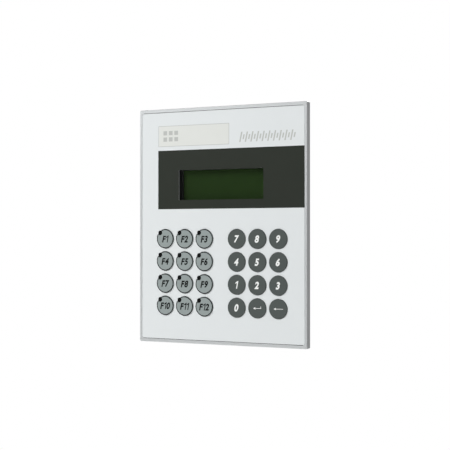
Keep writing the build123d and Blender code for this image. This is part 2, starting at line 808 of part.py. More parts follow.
# ------------------------------------------------------------------ the nodes
def make_nodes():
    """Every node of the assembly by name."""
    nodes = {
        "front_plate": make_front_plate(),
        "overlay_foil": make_overlay_foil(),
        "clear_windows": make_clear_windows(),
        "label_insert": make_label_insert(),
        "light_seal": make_light_seal(),
        "function_leds": make_function_leds(),
        "snap_domes": make_snap_domes(),
        "keypad_board": make_keypad_board(),
        "lcd_frame": make_lcd_frame(),
        "lcd_glass": lcd_layer(lcd_glass_front, lcd_glass_back),
        "lcd_backlight": lcd_layer(lcd_glass_back, lcd_board_front),
        "lcd_board": make_lcd_board(),
        "lcd_ribbon": make_lcd_ribbon(),
        "panel_gasket": make_panel_gasket(),
        "controller_board": make_controller_board(),
        "board_components": make_board_components(),
        "buzzer": make_buzzer(),
        "board_standoffs": make_board_standoffs(),
        "board_screws": make_board_screws(),
        "serial_port": make_serial_port(),
        "serial_jackposts": make_serial_jackposts(),
        "terminal_block": make_terminal_block(),
        "terminal_screws": make_terminal_screws(),
        "rear_housing": make_rear_housing(),
        "housing_standoffs": make_housing_standoffs(),
        "housing_screws": make_housing_screws(),
        "earth_stud": make_earth_stud(),
        "clamp_brackets": make_clamp_brackets(),
    }
    for number, (x, z) in enumerate(function_centres, 1):
        nodes[f"key_f{number}"] = make_key(x, z, with_light=True)
    for name, (x, z) in zip(number_names, number_centres):
        nodes[f"key_{name}"] = make_key(x, z, with_light=False)
    for number, (x, side) in enumerate(clamp_sides, 1):
        nodes[f"clamp_foot_{number}"] = make_clamp_foot(x, side)
        nodes[f"clamp_screw_{number}"] = make_clamp_screw(x, side)
    return nodes


os.makedirs("parts", exist_ok=True)
for name, shape in make_nodes().items():
    export_step(shape, f"parts/{name}.step")
print("overall", panel_width, "x", panel_height, "keys at", function_centres[0], number_centres[0])
print("display glass lies", lcd_glass_front - plate_front, "behind the rim")
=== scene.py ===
# %% [markdown]
# # A keypad operator panel, finished in Blender
# The panel sits in the door of a cabinet. Its solids, from the front plate to the door clamps,
# come in as a fixed frame, in metres. This lesson gives every one of them a finish and adds what
# the solids leave out: the print on the foil and the keys, the dots of the display, the threads
# of the screws and the contacts of the port. The keys face -Y and Z is up.

# %% Load the frame
from math import atan2, cos, degrees, pi, radians, sin, sqrt

import bmesh
import bpy
from mathutils import Matrix, Vector


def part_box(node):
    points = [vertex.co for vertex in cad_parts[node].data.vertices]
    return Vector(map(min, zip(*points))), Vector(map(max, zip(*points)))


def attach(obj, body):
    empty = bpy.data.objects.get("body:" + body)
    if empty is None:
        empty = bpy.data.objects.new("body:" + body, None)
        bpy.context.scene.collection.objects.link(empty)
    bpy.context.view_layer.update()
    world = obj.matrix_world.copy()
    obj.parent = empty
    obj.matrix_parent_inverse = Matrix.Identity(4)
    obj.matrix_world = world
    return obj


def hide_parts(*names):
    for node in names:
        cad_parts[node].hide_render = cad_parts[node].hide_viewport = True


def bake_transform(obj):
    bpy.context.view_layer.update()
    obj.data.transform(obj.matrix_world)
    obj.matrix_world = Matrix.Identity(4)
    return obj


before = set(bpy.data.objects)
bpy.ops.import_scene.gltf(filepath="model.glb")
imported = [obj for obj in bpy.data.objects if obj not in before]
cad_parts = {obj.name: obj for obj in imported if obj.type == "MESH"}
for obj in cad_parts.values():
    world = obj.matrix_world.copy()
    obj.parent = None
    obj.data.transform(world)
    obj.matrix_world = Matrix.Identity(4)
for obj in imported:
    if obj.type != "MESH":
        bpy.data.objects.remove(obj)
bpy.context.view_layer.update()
MM = 0.001

# %% [markdown]
# ## Where things are
# Every size below is read from the solids, so that the print stays on the keys if the design
# changes. A box is the lowest and the highest corner of a node.


# %% Sizes read from the frame
def middle(node):
    """The centre of a node's box."""
    low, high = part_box(node)
    return (low + high) / 2


def front_of(node):
    """The Y of a node's foremost face."""
    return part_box(node)[0].y


FUNCTION_KEYS = [f"key_f{number}" for number in range(1, 13)]
NUMBER_KEYS = [f"key_{digit}" for digit in range(10)] + ["key_enter", "key_backspace"]
plate_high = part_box("front_plate")[1]
foil_low, foil_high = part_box("overlay_foil")
pane_low, pane_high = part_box("light_seal")
key_face = front_of("key_5")
foil_face = foil_low.y
panel_half_width = plate_high.x
panel_half_height = plate_high.z
print("foil", [round(v / MM, 2) for v in foil_high], "key face", round(key_face / MM, 2))

# %% [markdown]
# ## The camera
# The panel is seen from its right, level with its middle, through a long lens, which keeps its
# left and right edges nearly parallel. The camera stands at eye level, 0.97 m away.

# %% Camera
CAMERA_PLACE = Vector((0.4532, -0.8619, -0.0074))
CAMERA_TURN = radians(27.70)
CAMERA_PITCH = radians(0.459)
CAMERA_LENS = 92.5

camera = bpy.data.objects.new("camera", bpy.data.cameras.new("camera"))
bpy.context.scene.collection.objects.link(camera)
camera.data.lens = CAMERA_LENS
camera.data.sensor_width = 36.0
camera.data.clip_start = 0.01
camera.location = CAMERA_PLACE
camera.rotation_euler = (pi / 2 + CAMERA_PITCH, 0, CAMERA_TURN)
bpy.context.scene.camera = camera
print("camera", [round(v, 3) for v in CAMERA_PLACE], "turned", round(degrees(CAMERA_TURN), 1))

# %% [markdown]
# ## Light and floor
# A soft box above and to the left makes the shadow at the top and the left of the display
# opening. A second one, lower, lights the panel's lower half, and two weaker ones keep its right
# side and its back from going dark. A pale floor lies well below, because a panel like this hangs
# in a door and stands on nothing. The world is plain white where it is seen, and dimmer where it
# lights, so that the soft boxes still shape the edges.

# %% Light and floor
KEY_LIGHT = {"place": (-1.65, -1.5, 1.42), "size": 1.05, "watts": 58}
FILL_LIGHT = {"place": (-1.0, -1.9, -1.3), "size": 1.0, "watts": 28}
SIDE_LIGHT = {"place": (1.6, -0.1, 0.3), "size": 1.0, "watts": 3.5}
REAR_LIGHT = {"place": (-0.5, 1.8, 1.0), "size": 1.0, "watts": 30}
WORLD_SEEN = 1.0
WORLD_LIGHT = 0.25
FLOOR_DROP = 0.8
FLOOR_HALF = 1.7
FLOOR_GLOW = 0.25

bpy.context.scene.view_settings.view_transform = "Standard"


def soft_box(name, place, size, watts):
    """A square area light that faces the panel's centre."""
    lamp = bpy.data.lights.new(name, "AREA")
    lamp.size = size
    lamp.energy = watts
    light = bpy.data.objects.new(name, lamp)
    light.location = place
    light.rotation_euler = (-Vector(place)).to_track_quat("-Z", "Y").to_euler()
    light.visible_camera = False
    bpy.context.scene.collection.objects.link(light)
    return light


def white_world():
    """White where the camera looks past the panel, dimmer as light."""
    world = bpy.data.worlds.new("studio")
    bpy.context.scene.world = world
    world.use_nodes = True
    tree = world.node_tree
    background = tree.nodes["Background"]
    path = tree.nodes.new("ShaderNodeLightPath")
    strength = tree.nodes.new("ShaderNodeMapRange")
    tree.links.new(path.outputs["Is Camera Ray"], strength.inputs["Value"])
    strength.inputs["To Min"].default_value = WORLD_LIGHT
    strength.inputs["To Max"].default_value = WORLD_SEEN
    tree.links.new(strength.outputs["Result"], background.inputs["Strength"])
    background.inputs["Color"].default_value = (1, 1, 1, 1)


def pale_floor():
    """A plain square below the panel."""
    mesh = bpy.data.meshes.new("floor")
    z = -panel_half_height - FLOOR_DROP
    corners = [(-1, -1), (1, -1), (1, 1), (-1, 1)]
    mesh.from_pydata([(x * FLOOR_HALF, y * FLOOR_HALF, z) for x, y in corners], [], [(0, 1, 2, 3)])
    floor = bpy.data.objects.new("floor", mesh)
    bpy.context.scene.collection.objects.link(floor)
    material = bpy.data.materials.new("floor_paper")
    material.use_nodes = True
    paper = material.node_tree.nodes["Principled BSDF"]
    paper.inputs["Base Color"].default_value = (0.86, 0.86, 0.85, 1)
    paper.inputs["Roughness"].default_value = 0.8
    paper.inputs["Emission Color"].default_value = (1, 1, 1, 1)
    paper.inputs["Emission Strength"].default_value = FLOOR_GLOW
    mesh.materials.append(material)


soft_box("key_light", **KEY_LIGHT)
soft_box("fill_light", **FILL_LIGHT)
soft_box("side_light", **SIDE_LIGHT)
soft_box("rear_light", **REAR_LIGHT)
white_world()
pale_floor()

# %% [markdown]
# ## Small helpers for shader trees
# A tree is easier to read when a node is made in one line, with its inputs as arguments. An
# argument that is a socket is linked, and anything else is set as the input's own value.


# %% Node helpers
def set_input(tree, socket, value):
    """Links a socket, or sets a plain value."""
    if isinstance(value, bpy.types.NodeSocket):
        tree.links.new(value, socket)
    else:
        socket.default_value = value


def node(tree, kind, inputs=(), **settings):
    """Makes a node, sets its properties, and fills inputs given by name or by number."""
    made = tree.nodes.new(kind)
    for name, value in settings.items():
        setattr(made, name, value)
    for name, value in dict(inputs).items():
        set_input(tree, made.inputs[name], value)
    return made


def maths(tree, operation, a, b=0.0):
    """One Math node's result."""
    return node(tree, "ShaderNodeMath", {0: a, 1: b}, operation=operation).outputs[0]


def blend(tree, factor, a, b):
    """The colour between a and b."""
    inputs = {"Factor": factor, 6: a, 7: b}
    return node(tree, "ShaderNodeMix", inputs, data_type="RGBA").outputs[2]


def noise(tree, place, size, detail=3.0):
    """Cloudy noise from 0 to 1, whose lumps are about size metres across."""
    inputs = {"Vector": place, "Scale": 1 / size, "Detail": detail}
    return node(tree, "ShaderNodeTexNoise", inputs).outputs["Fac"]


def object_place(tree):
    """The place on the piece, in metres."""
    return node(tree, "ShaderNodeTexCoord").outputs["Object"]


def new_group(name, inputs, outputs):
    """An empty shader group with its named float and colour sockets."""
    tree = bpy.data.node_groups.new(name, "ShaderNodeTree")
    for socket, value in inputs.items():
        made = tree.interface.new_socket(socket, in_out="INPUT", socket_type="NodeSocketFloat")
        made.default_value = value
    for socket in outputs:
        tree.interface.new_socket(socket, in_out="OUTPUT", socket_type="NodeSocketFloat")
    return tree, tree.nodes.new("NodeGroupInput").outputs, tree.nodes.new("NodeGroupOutput").inputs


def use_group(tree, group, **inputs):
    """Places a shader group in a material."""
    made = tree.nodes.new("ShaderNodeGroup")
    made.node_tree = group
    for name, value in inputs.items():
        set_input(tree, made.inputs[name], value)
    return made.outputs


print("helpers ready")

# %% [markdown]
# ## Effects that many finishes share
# Three groups hold what the finishes have in common. Grain is the fine texture of moulded or
# printed plastic. Edge wear is the brighter, smoother metal along the outline of a plate, where
# hands and tools rub it. Dust lies where a surface looks up and where noise lets it gather.


# %% Grain
def make_grain_group():
    """Fine texture: a shade that varies round 1, a height for a Bump, and broad clouds."""
    tree, given, out = new_group("grain", {"Size": 0.0005, "Contrast": 0.1}, ["Shade", "Height", "Cloud"])
    place = object_place(tree)
    scale = maths(tree, "DIVIDE", 1.0, given["Size"])
    fine = node(tree, "ShaderNodeTexNoise", {"Vector": place, "Scale": scale, "Detail": 2.0})
    broad_scale = maths(tree, "DIVIDE", scale, 60.0)
    broad = node(tree, "ShaderNodeTexNoise", {"Vector": place, "Scale": broad_scale, "Detail": 3.0})
    both = maths(tree, "ADD", fine.outputs["Fac"], broad.outputs["Fac"])
    swing = maths(tree, "MULTIPLY", maths(tree, "SUBTRACT", both, 1.0), given["Contrast"])
    tree.links.new(maths(tree, "ADD", swing, 1.0), out["Shade"])
    tree.links.new(fine.outputs["Fac"], out["Height"])
    tree.links.new(broad.outputs["Fac"], out["Cloud"])
    return tree


GRAIN = make_grain_group()
print("group", GRAIN.name)


# %% Edge wear
def make_edge_group():
    """A mask that is 1 on the outline of a box round the origin and broken up by noise."""
    tree, given, out = new_group(
        "edge_wear", {"Half Width": 0.1, "Half Height": 0.1, "Reach": 0.001}, ["Mask"]
    )
    place = object_place(tree)
    axes = node(tree, "ShaderNodeSeparateXYZ", {0: place}).outputs
    side = maths(tree, "SUBTRACT", given["Half Width"], maths(tree, "ABSOLUTE", axes["X"]))
    end = maths(tree, "SUBTRACT", given["Half Height"], maths(tree, "ABSOLUTE", axes["Z"]))
    near = maths(tree, "MINIMUM", side, end)
    share = maths(tree, "DIVIDE", near, given["Reach"])
    ragged = maths(tree, "ADD", share, noise(tree, place, 4 * MM, 6.0))
    inputs = {"Value": ragged, "From Min": 1.2, "From Max": 0.4}
    tree.links.new(node(tree, "ShaderNodeMapRange", inputs).outputs[0], out["Mask"])
    return tree


EDGE_WEAR = make_edge_group()
print("group", EDGE_WEAR.name)


# %% Dust
def make_dust_group():
    """A mask of dust on faces that look up."""
    tree, given, out = new_group("dust", {"Amount": 0.3}, ["Mask"])
    place = object_place(tree)
    up = node(tree, "ShaderNodeSeparateXYZ", {0: node(tree, "ShaderNodeNewGeometry").outputs["Normal"]})
    facing = node(
        tree, "ShaderNodeMapRange", {"Value": up.outputs["Z"], "From Min": 0.2, "From Max": 1.0}
    ).outputs[0]
    specks = noise(tree, place, 2.5 * MM, 5.0)
    mask = maths(tree, "MULTIPLY", facing, specks)
    tree.links.new(maths(tree, "MULTIPLY", mask, given["Amount"]), out["Mask"])
    return tree


DUST = make_dust_group()
print("group", DUST.name)

# %% [markdown]
# ## Finishes
# A finish is one Principled shader. Its plain numbers, such as metallic or roughness, are set on
# the shader's own sockets. Only what changes over the surface comes in through a node: the
# colour, the normal, and the roughness where it is worn.


# %% The shared recipe of a finish
def screen(red, green, blue):
    """A colour as a screen shows it, 0 to 255, turned into Blender's linear values."""
    linear = [((c / 255 + 0.055) / 1.055) ** 2.4 if c > 10 else c / 3294.6 for c in (red, green, blue)]
    return (*linear, 1.0)


def start_finish(name, roughness, **sockets):
    """A new material with its shader and plain values set."""
    material = bpy.data.materials.new(name)
    material.use_nodes = True
    shader = material.node_tree.nodes["Principled BSDF"]
    shader.inputs["Roughness"].default_value = roughness
    for socket, value in sockets.items():
        shader.inputs[socket.replace("_", " ")].default_value = value
    return material, material.node_tree, shader.inputs


def tinted(tree, color, shade):
    """A colour multiplied by a shade that varies round 1."""
    grey = node(tree, "ShaderNodeCombineColor", {0: shade, 1: shade, 2: shade}).outputs[0]
    inputs = {"Factor": 1.0, 6: color, 7: grey}
    return node(tree, "ShaderNodeMix", inputs, data_type="RGBA", blend_type="MULTIPLY").outputs[2]


def bump(tree, height, distance, strength=1.0):
    """A normal from a height, distance metres deep."""
    inputs = {"Height": height, "Distance": distance, "Strength": strength}
    return node(tree, "ShaderNodeBump", inputs).outputs["Normal"]


def grained(name, color, roughness, size=0.4 * MM, contrast=0.06, depth=0.02 * MM, dust=0.0, **sockets):
    """A moulded, printed or painted finish with grain, and with dust where asked."""
    material, tree, shader = start_finish(name, roughness, **sockets)
    grain = use_group(tree, GRAIN, Size=size, Contrast=contrast)
    shade = tinted(tree, color, grain["Shade"])
    if dust:
        shade = blend(tree, use_group(tree, DUST, Amount=dust)["Mask"], shade, screen(176, 172, 162))
    set_input(tree, shader["Base Color"], shade)
    set_input(tree, shader["Normal"], bump(tree, grain["Height"], depth))
    return material


print("recipe ready")

# %% [markdown]
# ## Metals
# The front plate is aluminium with a fine satin anodising: lines from the belt run along it, and
# its outline is a little brighter where it is rubbed. The housing is galvanised sheet, whose zinc
# freezes in crystals, so cells of slightly different grey and gloss cover it.


# %% Metals
def metal(name, color, roughness, size=0.3 * MM, contrast=0.08, depth=0.01 * MM, dust=0.0):
    """A plain metal with fine machining texture."""
    return grained(name, color, roughness, size, contrast, depth, dust, Metallic=1.0)


def satin_aluminium():
    """The front plate: fine lines along its height, a worn outline, dust on top."""
    material, tree, shader = start_finish("satin_aluminium", 0.42, Metallic=0.55)
    place = object_place(tree)
    stretch = node(tree, "ShaderNodeMapping", {"Vector": place, "Scale": (1.0, 1.0, 0.02)})
    lines = noise(tree, stretch.outputs["Vector"], 0.25 * MM, 2.0)
    grain = use_group(tree, GRAIN, Size=0.5 * MM, Contrast=0.05)
    wear = use_group(
        tree,
        EDGE_WEAR,
        **{"Half Width": panel_half_width, "Half Height": panel_half_height, "Reach": 0.5 * MM},
    )["Mask"]
    streaks = maths(tree, "ADD", maths(tree, "MULTIPLY", lines, 0.06), 0.97)
    anodised = tinted(tree, screen(200, 203, 204), maths(tree, "MULTIPLY", streaks, grain["Shade"]))
    worn = blend(tree, maths(tree, "MULTIPLY", wear, 0.5), anodised, screen(214, 216, 217))
    dusty = blend(tree, use_group(tree, DUST, Amount=0.35)["Mask"], worn, screen(176, 172, 162))
    set_input(tree, shader["Base Color"], dusty)
    set_input(tree, shader["Roughness"], maths(tree, "SUBTRACT", 0.46, maths(tree, "MULTIPLY", wear, 0.12)))
    set_input(tree, shader["Normal"], bump(tree, lines, 0.004 * MM))
    return material


def galvanised_sheet():
    """Zinc crystals as cells of slightly different shade and gloss."""
    material, tree, shader = start_finish("galvanised_sheet", 0.4, Metallic=0.9)
    place = object_place(tree)
    inputs = {"Vector": place, "Scale": 220.0, "Detail": 3.0}
    warp = node(tree, "ShaderNodeTexNoise", inputs).outputs["Color"]
    moved = node(tree, "ShaderNodeVectorMath", {0: warp, "Scale": 1.6 * MM}, operation="SCALE").outputs[0]
    bent = node(tree, "ShaderNodeVectorMath", {0: place, 1: moved}, operation="ADD").outputs[0]
    cells = node(tree, "ShaderNodeTexVoronoi", {"Vector": bent, "Scale": 190.0}).outputs["Color"]
    crystal = node(tree, "ShaderNodeSeparateColor", {0: cells}).outputs
    shade = maths(tree, "ADD", maths(tree, "MULTIPLY", crystal[0], 0.2), 0.86)
    sheet = tinted(tree, screen(178, 183, 186), shade)
    dusty = blend(tree, use_group(tree, DUST, Amount=0.5)["Mask"], sheet, screen(170, 166, 156))
    set_input(tree, shader["Base Color"], dusty)
    set_input(tree, shader["Roughness"], maths(tree, "ADD", maths(tree, "MULTIPLY", crystal[1], 0.18), 0.3))
    set_input(tree, shader["Normal"], bump(tree, noise(tree, place, 0.8 * MM), 0.01 * MM))
    return material


ALUMINIUM = satin_aluminium()
GALVANISED = galvanised_sheet()
ZINC = metal("zinc_steel", screen(190, 193, 197), 0.34)
BRASS = metal("bright_brass", screen(206, 178, 104), 0.3)
NICKEL = metal("nickel_brass", screen(196, 188, 166), 0.3)
SPRING = metal("spring_steel", screen(188, 188, 186), 0.22)
TIN = metal("tinned_steel", screen(186, 187, 188), 0.28)
DIECAST = metal("zinc_casting", screen(160, 163, 166), 0.5, size=0.7 * MM, contrast=0.14, depth=0.03 * MM)
BLACK_STEEL = grained("black_steel", screen(24, 24, 25), 0.45, size=0.3 * MM, contrast=0.2)
print("metals", [m.name for m in bpy.data.materials if m.name != "floor_paper"])

# %% [markdown]
# ## Plastics, print and foam
# The foil is polyester with a fine sand texture that keeps it from glaring. Its colours are
# printed on the back, so the pale grey and the dark band share one texture and one gloss. The
# keys are moulded with a slightly coarser texture, and the ink of their figures lies on top.

# %% Plastics, print and foam
MATTE = {"Specular_IOR_Level": 0.12}
FOIL = grained("pale_foil", screen(226, 230, 231), 0.5, 0.25 * MM, 0.02, 0.008 * MM, **MATTE)
BAND = grained("dark_band", screen(44, 48, 42), 0.5, 0.25 * MM, 0.10, 0.008 * MM, **MATTE)
KEY_GREY = grained("grey_key", screen(150, 159, 158), 0.5, 0.35 * MM, 0.10, 0.015 * MM, **MATTE)
KEY_DARK = grained("dark_key", screen(82, 88, 86), 0.5, 0.35 * MM, 0.16, 0.015 * MM, **MATTE)
INK_BLACK = grained("black_ink", screen(12, 14, 14), 0.5, 0.25 * MM, 0.15, 0.008 * MM, **MATTE)
INK_WHITE = grained("white_ink", screen(240, 242, 240), 0.45, contrast=0.03)
INK_FAINT = grained("faint_ink", screen(190, 192, 189), 0.5, 0.25 * MM, 0.03, 0.008 * MM, **MATTE)
LENS = grained("smoked_lens", screen(15, 17, 17), 0.2, 1.0 * MM, 0.2, 0.005 * MM, Specular_IOR_Level=0.2)
LABEL = grained("label_paper", screen(224, 226, 222), 0.6, 0.15 * MM, 0.03, 0.01 * MM, **MATTE)
FOAM = grained("black_foam", screen(20, 20, 20), 0.9, size=0.35 * MM, contrast=0.35, depth=0.12 * MM)
GASKET = grained("gasket_foam", screen(42, 42, 43), 0.85, 0.5 * MM, 0.3, 0.15 * MM, dust=0.3)
NYLON = grained("black_nylon", screen(34, 34, 35), 0.5, size=0.4 * MM, contrast=0.15, depth=0.02 * MM)
EPOXY = grained("black_epoxy", screen(30, 30, 31), 0.6, contrast=0.2)
WHITE = grained("white_guide", screen(228, 228, 222), 0.4)
RIBBON = grained("grey_ribbon", screen(158, 160, 160), 0.5)
RESIST = grained("green_resist", screen(22, 92, 52), 0.35, size=0.8 * MM, contrast=0.25, Coat_Weight=0.3)
TERMINAL = grained("green_terminal", screen(40, 128, 66), 0.38, size=0.5 * MM, contrast=0.08)
print("finishes", len(bpy.data.materials))

# %% [markdown]
# ## The display and its pane
# An unlit display of this kind is a dark olive green. Light reaches it only through the opening,
# so the depth of the opening does the shading and the glass itself stays even. The pane in front
# is clear plastic with a thin coat, and so is the film of the label pocket.


# %% Display glass and clear pane
def display_green():
    """Dark green glass with a slow drift of shade."""
    material, tree, shader = start_finish("display_green", 0.3, Specular_IOR_Level=0.06)
    grain = use_group(tree, GRAIN, Size=0.6 * MM, Contrast=0.12)
    set_input(tree, shader["Base Color"], tinted(tree, screen(37, 57, 24), grain["Shade"]))
    set_input(tree, shader["Normal"], bump(tree, grain["Cloud"], 0.01 * MM))
    return material


def clear_plastic():
    """A clear sheet: nearly all light passes straight through, and a thin skin of gloss stays."""
    material, tree, shader = start_finish("clear_plastic", 0.14, Alpha=0.03)
    grain = use_group(tree, GRAIN, Size=0.5 * MM, Contrast=0.03)
    set_input(tree, shader["Base Color"], tinted(tree, screen(40, 44, 40), grain["Shade"]))
    return material


DISPLAY = display_green()
CLEAR = clear_plastic()
print("display", DISPLAY.name, "pane", CLEAR.name)

# %% [markdown]
# ## Finish every solid
# Each solid of the frame gets one of these finishes. The table names the finish first, then the
# solids that wear it, so that a missing one is easy to spot.

# %% Solids and their finishes
CLAMPS = range(1, 5)
FINISHES = [
    (ALUMINIUM, ["front_plate"]),
    (FOIL, ["overlay_foil"]),
    (CLEAR, ["clear_windows"]),
    (LABEL, ["label_insert"]),
    (FOAM, ["light_seal"]),
    (GASKET, ["panel_gasket"]),
    (LENS, ["function_leds"]),
    (SPRING, ["snap_domes"]),
    (RESIST, ["keypad_board", "lcd_board", "controller_board"]),
    (BLACK_STEEL, ["lcd_frame"]),
    (DISPLAY, ["lcd_glass"]),
    (WHITE, ["lcd_backlight"]),
    (RIBBON, ["lcd_ribbon"]),
    (EPOXY, ["board_components", "buzzer"]),
    (NICKEL, ["board_standoffs"]),
    (ZINC, ["board_screws", "serial_jackposts", "terminal_screws"]),
    (ZINC, ["housing_standoffs", "housing_screws"]),
    (TIN, ["serial_port"]),
    (TERMINAL, ["terminal_block"]),
    (GALVANISED, ["rear_housing"]),
    (BRASS, ["earth_stud"]),
    (DIECAST, ["clamp_brackets"]),
    (KEY_GREY, FUNCTION_KEYS),
    (KEY_DARK, NUMBER_KEYS),
    (NYLON, [f"clamp_foot_{number}" for number in CLAMPS]),
    (ZINC, [f"clamp_screw_{number}" for number in CLAMPS]),
]
for material, names in FINISHES:
    for name in names:
        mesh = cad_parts[name].data
        mesh.materials.clear()
        mesh.materials.append(material)
finished = sum(len(names) for material, names in FINISHES)
print("finished", finished, "of", len(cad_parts))

# %% [markdown]
# ## Printed areas
# The dark band is printed round the display and runs on to the right edge of the foil. Print is
# flat, but a flat sheet would have no thickness for a caliper or a slicer, so each printed area
# is a closed film two hundredths of a millimetre thick. Its outline and its holes are drawn as
# loops of points, filled, and pushed out.

# %% Film helper
FILM = 0.02 * MM


def rectangle(left, right, bottom, top):
    """The four corners of a rectangle, seen by the operator."""
    return [(left, bottom), (right, bottom), (right, top), (left, top)]


def film(name, loops, back, body, material, thickness=FILM):
    """A closed flat piece from an outline and its holes, its back at depth back."""
    mesh = bpy.data.meshes.new(name)
    shape = bmesh.new()
    for loop in loops:
        corners = [shape.verts.new((x, back, z)) for x, z in loop]
        for here, there in zip(corners, corners[1:] + corners[:1]):
            shape.edges.new((here, there))
    bmesh.ops.triangle_fill(shape, use_beauty=True, edges=shape.edges)
    grown = bmesh.ops.extrude_face_region(shape, geom=shape.faces[:], use_keep_orig=True)
    new_corners = [part for part in grown["geom"] if isinstance(part, bmesh.types.BMVert)]
    bmesh.ops.translate(shape, verts=new_corners, vec=(0, -thickness, 0))
    bmesh.ops.recalc_face_normals(shape, faces=shape.faces)
    shape.to_mesh(mesh)
    shape.free()
    return finish_piece(name, mesh, body, material)


def finish_piece(name, mesh, body, material):
    """Puts a mesh in the scene, gives it its finish and lets it ride on its body."""
    mesh.materials.clear()
    mesh.materials.append(material)
    piece = bpy.data.objects.new(name, mesh)
    bpy.context.scene.collection.objects.link(piece)
    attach(piece, body)
    return piece


print("film thickness", round(FILM / MM, 3), "mm")

# %% The dark band
BAND_LEFT = -60.6 * MM
BAND_BOTTOM = 14.1 * MM
BAND_TOP = 64.35 * MM
SEAL_WALL = 1.5 * MM

window = rectangle(
    pane_low.x + SEAL_WALL, pane_high.x - SEAL_WALL, pane_low.z + SEAL_WALL, pane_high.z - SEAL_WALL
)
band_outline = rectangle(BAND_LEFT, foil_high.x, BAND_BOTTOM, BAND_TOP)
band = film("band_print", [band_outline, window], foil_face, "panel", BAND)
print("band", [round(v / MM, 1) for v in band.dimensions])

# %% [markdown]
# ## Label, marks and painted gap shadow
# The label's field is part of the foil, so it lies level with it, in a slightly warmer white with
# a thin grey outline. The marks in it and beside it are plain squares and slanted strokes in the
# same pale grey: they hold the places of a maker's sign and a name without being either. A black
# strip above and below the foil paints the shadow in the gap there.

# %% Label and marks
LABEL_LINE = 0.4 * MM
MARK_SLANT = 0.22
MARK_BOTTOM = 69.2 * MM
MARK_HEIGHT = 8.4 * MM
STROKES_LEFT = 17.6 * MM
STROKE_PITCH = 5.15 * MM
STROKE_COUNT = 10
STROKE_INSET = 2.2 * MM
STROKE_WIDTH = 1.25 * MM

label_low, label_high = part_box("label_insert")
LABEL_HIDDEN = 0.75 * MM
label_edge = rectangle(
    label_low.x + LABEL_HIDDEN,
    label_high.x - LABEL_HIDDEN,
    label_low.z + LABEL_HIDDEN,
    label_high.z - LABEL_HIDDEN,
)
(field_left, field_bottom), (field_right, field_top) = label_edge[0], label_edge[2]
label_inside = rectangle(
    field_left + LABEL_LINE, field_right - LABEL_LINE, field_bottom + LABEL_LINE, field_top - LABEL_LINE
)
film("label_outline", [label_edge, label_inside], foil_face, "panel", INK_FAINT)
film("label_face", [label_inside], foil_face, "panel", LABEL)


def slanted(left, right, bottom, top):
    """A bar that leans to the right as it rises."""
    lean = (top - bottom) * MARK_SLANT
    return [(left, bottom), (right, bottom), (right + lean, top), (left + lean, top)]


SIGN_LEFT = 5.0 * MM
SIGN_SQUARE = 3.6 * MM
SIGN_PITCH = 5.4 * MM
sign_foot = (field_bottom + field_top - SIGN_PITCH - SIGN_SQUARE) / 2
sign_squares = []
for column in range(3):
    for row in range(2):
        left = field_left + SIGN_LEFT + column * SIGN_PITCH
        foot = sign_foot + row * SIGN_PITCH
        sign_squares.append(rectangle(left, left + SIGN_SQUARE, foot, foot + SIGN_SQUARE))
film("sign_squares", sign_squares, foil_face - FILM, "panel", INK_FAINT)

strokes = []
for number in range(2 * STROKE_COUNT):
    inset = (number % 2) * STROKE_INSET
    left = STROKES_LEFT + number * STROKE_PITCH / 2 + inset * MARK_SLANT
    bottom, top = MARK_BOTTOM + inset, MARK_BOTTOM + MARK_HEIGHT - inset
    strokes.append(slanted(left, left + STROKE_WIDTH, bottom, top))
film("name_strokes", strokes, foil_face, "panel", INK_FAINT)
print("label field", [round(v / MM, 1) for v in (field_right - field_left, field_top - field_bottom)])

# %% Painted shadow in the gap along the foil
# Black strips paint the shadow in the gap above and below the foil; they lap a little over its edge.
GAP_SHADOW_LAP = 0.12 * MM
GAP_SHADOW_REACH = 0.24 * MM
GAP_SHADOW_END = 1.2 * MM
GAP_SHADOW = grained("painted_gap_shadow", screen(10, 10, 11), 0.6, 0.25 * MM, 0.2, 0.008 * MM, **MATTE)
gap_shadow_right = foil_high.x - GAP_SHADOW_END
for side, name in ((1, "gap_shadow_top"), (-1, "gap_shadow_bottom")):
    edges = sorted((side * (foil_high.z - GAP_SHADOW_LAP), side * (foil_high.z + GAP_SHADOW_REACH)))
    strip = rectangle(-gap_shadow_right, gap_shadow_right, *edges)
    film(name, [strip], foil_face, "panel", GAP_SHADOW)
print("gap shadow laps", round(GAP_SHADOW_LAP / MM, 2), "mm over the foil's edge")

# %% [markdown]
# ## Geometry Nodes helpers
# What repeats or follows a rule is made by a node tree: the rings round the keys, the dots of the
# display, the threads, the contacts. Each tree is run once on an empty host, and its result is
# kept as a plain mesh, so nothing live is left on the finished piece. A tree draws in the XY
# plane, and the result is stood up, so that its Y becomes Z and it faces the operator.


# %% Geometry Nodes helpers
def new_tree(name, **inputs):
    """A Geometry Nodes tree with named inputs, each given as its default value."""
    tree = bpy.data.node_groups.new(name, "GeometryNodeTree")
    kinds = {float: "NodeSocketFloat", int: "NodeSocketInt"}
    for socket, value in inputs.items():
        label = socket.replace("_", " ")
        made = tree.interface.new_socket(label, in_out="INPUT", socket_type=kinds[type(value)])
        made.default_value = value
    tree.interface.new_socket("Material", in_out="INPUT", socket_type="NodeSocketMaterial")
    tree.interface.new_socket("Geometry", in_out="OUTPUT", socket_type="NodeSocketGeometry")
    return tree, tree.nodes.new("NodeGroupInput").outputs


def end_tree(tree, given, shape):
    """Closes a tree: its instances become real and take the material."""
    real = node(tree, "GeometryNodeRealizeInstances", {0: shape}).outputs[0]
    inputs = {"Geometry": real, "Material": given["Material"]}
    painted = node(tree, "GeometryNodeSetMaterial", inputs).outputs[0]
    tree.links.new(painted, tree.nodes.new("NodeGroupOutput").inputs[0])
    return tree


